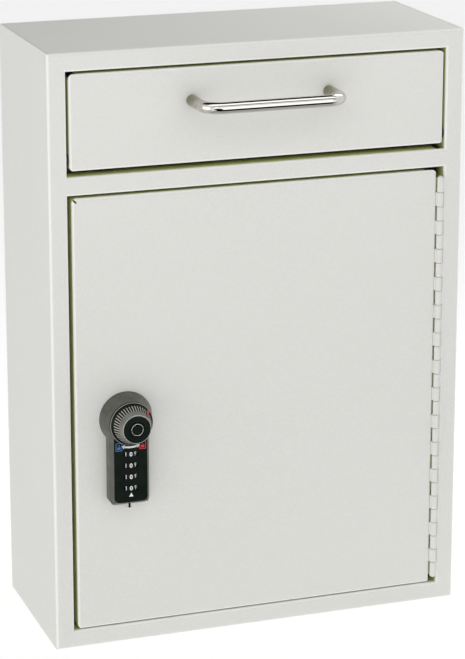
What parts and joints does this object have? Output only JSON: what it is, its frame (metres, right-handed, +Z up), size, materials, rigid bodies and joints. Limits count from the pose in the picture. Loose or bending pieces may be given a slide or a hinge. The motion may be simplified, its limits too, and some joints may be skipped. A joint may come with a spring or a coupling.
{
  "type": "parcel drop box",
  "caption": "Wall-mounted steel parcel drop box with a tilt-out deposit flap, a pull handle, and a piano-hinged door with a combination knob lock.",
  "frame": {"origin": "centre of the cabinet's underside, without the handle and the lock", "axes": "+Z up, -Y out of the front, +Y towards the wall, +X to the right seen from the front (hinge side)"},
  "size_m": [0.292, 0.157, 0.411],
  "materials": {
    "cabinet_paint": "fine-textured semi-matt powder coat, warm light grey",
    "chrome": "polished chrome",
    "plated_steel": "zinc plated, satin",
    "bumper_rubber": "matt black rubber",
    "nylon": "black nylon",
    "lock_paint": "satin grey-olive enamel on a die casting",
    "knob_plastic": "satin dark grey moulding",
    "black_plastic": "gloss black moulding"
  },
  "bodies": {
    "cabinet": {"face_frame": "cabinet_paint", "left_wall": "cabinet_paint", "right_wall": "cabinet_paint", "top_wall": "cabinet_paint", "bottom_wall": "cabinet_paint", "back_panel": "cabinet_paint", "door_stops": "cabinet_paint", "door_bumpers": "bumper_rubber", "flap_bumpers": "bumper_rubber", "hinge_frame_leaf": "cabinet_paint", "hinge_pin": "cabinet_paint", "flap_pivot_pins": "plated_steel", "flap_washers": "nylon", "flap_clips": "plated_steel"},
    "door": {"door_panel": "cabinet_paint", "hinge_door_leaf": "cabinet_paint", "lock_housing": "lock_paint", "lock_faceplate": "black_plastic", "wheel_spindle": "plated_steel", "lock_nut": "plated_steel", "lock_screws": "plated_steel"},
    "flap": {"flap_front": "cabinet_paint", "flap_tray": "cabinet_paint", "flap_cheek_left": "cabinet_paint", "flap_cheek_right": "cabinet_paint", "handle": "chrome", "handle_screws": "plated_steel"},
    "knob": {"lock_knob": "knob_plastic", "knob_cap": "black_plastic", "key_sleeve": "chrome", "lock_spindle": "plated_steel", "cam": "plated_steel", "cam_nut": "plated_steel"},
    "key": {"key_plug": "black_plastic"},
    "wheel_1": {"code_wheel_1": "black_plastic"},
    "wheel_2": {"code_wheel_2": "black_plastic"},
    "wheel_3": {"code_wheel_3": "black_plastic"},
    "wheel_4": {"code_wheel_4": "black_plastic"},
    "button": {"reset_button": "plated_steel"}
  },
  "joints": [
    {"name": "door_hinge", "type": "hinge", "parent": "cabinet", "child": "door", "pos_m": [0.1306, -0.0612, 0.1623], "axis": [0, 0, 1], "range_deg": [0, 170]},
    {"name": "flap_pivot", "type": "hinge", "parent": "cabinet", "child": "flap", "pos_m": [0, -0.0545, 0.3394], "axis": [1, 0, 0], "range_deg": [0, 50]},
    {"name": "knob_turn", "type": "hinge", "parent": "door", "child": "knob", "pos_m": [-0.0957, -0.061, 0.161], "axis": [0, 1, 0], "range_deg": [0, 90]},
    {"name": "key_turn", "type": "hinge", "parent": "knob", "child": "key", "pos_m": [-0.0957, -0.08, 0.161], "axis": [0, 1, 0], "range_deg": [0, 90]},
    {"name": "code_wheel_1_spin", "type": "hinge", "parent": "door", "child": "wheel_1", "pos_m": [-0.0957, -0.06695, 0.1389], "axis": [0, 0, 1], "continuous": true},
    {"name": "code_wheel_2_spin", "type": "hinge", "parent": "door", "child": "wheel_2", "pos_m": [-0.0957, -0.06695, 0.1309], "axis": [0, 0, 1], "continuous": true},
    {"name": "code_wheel_3_spin", "type": "hinge", "parent": "door", "child": "wheel_3", "pos_m": [-0.0957, -0.06695, 0.1229], "axis": [0, 0, 1], "continuous": true},
    {"name": "code_wheel_4_spin", "type": "hinge", "parent": "door", "child": "wheel_4", "pos_m": [-0.0957, -0.06695, 0.1149], "axis": [0, 0, 1], "continuous": true},
    {"name": "reset_press", "type": "slide", "parent": "door", "child": "button", "axis": [0, 0, 1], "range_m": [0, 0.0015], "stiffness_N_per_m": 300, "springref_m": -0.001}
  ]
}
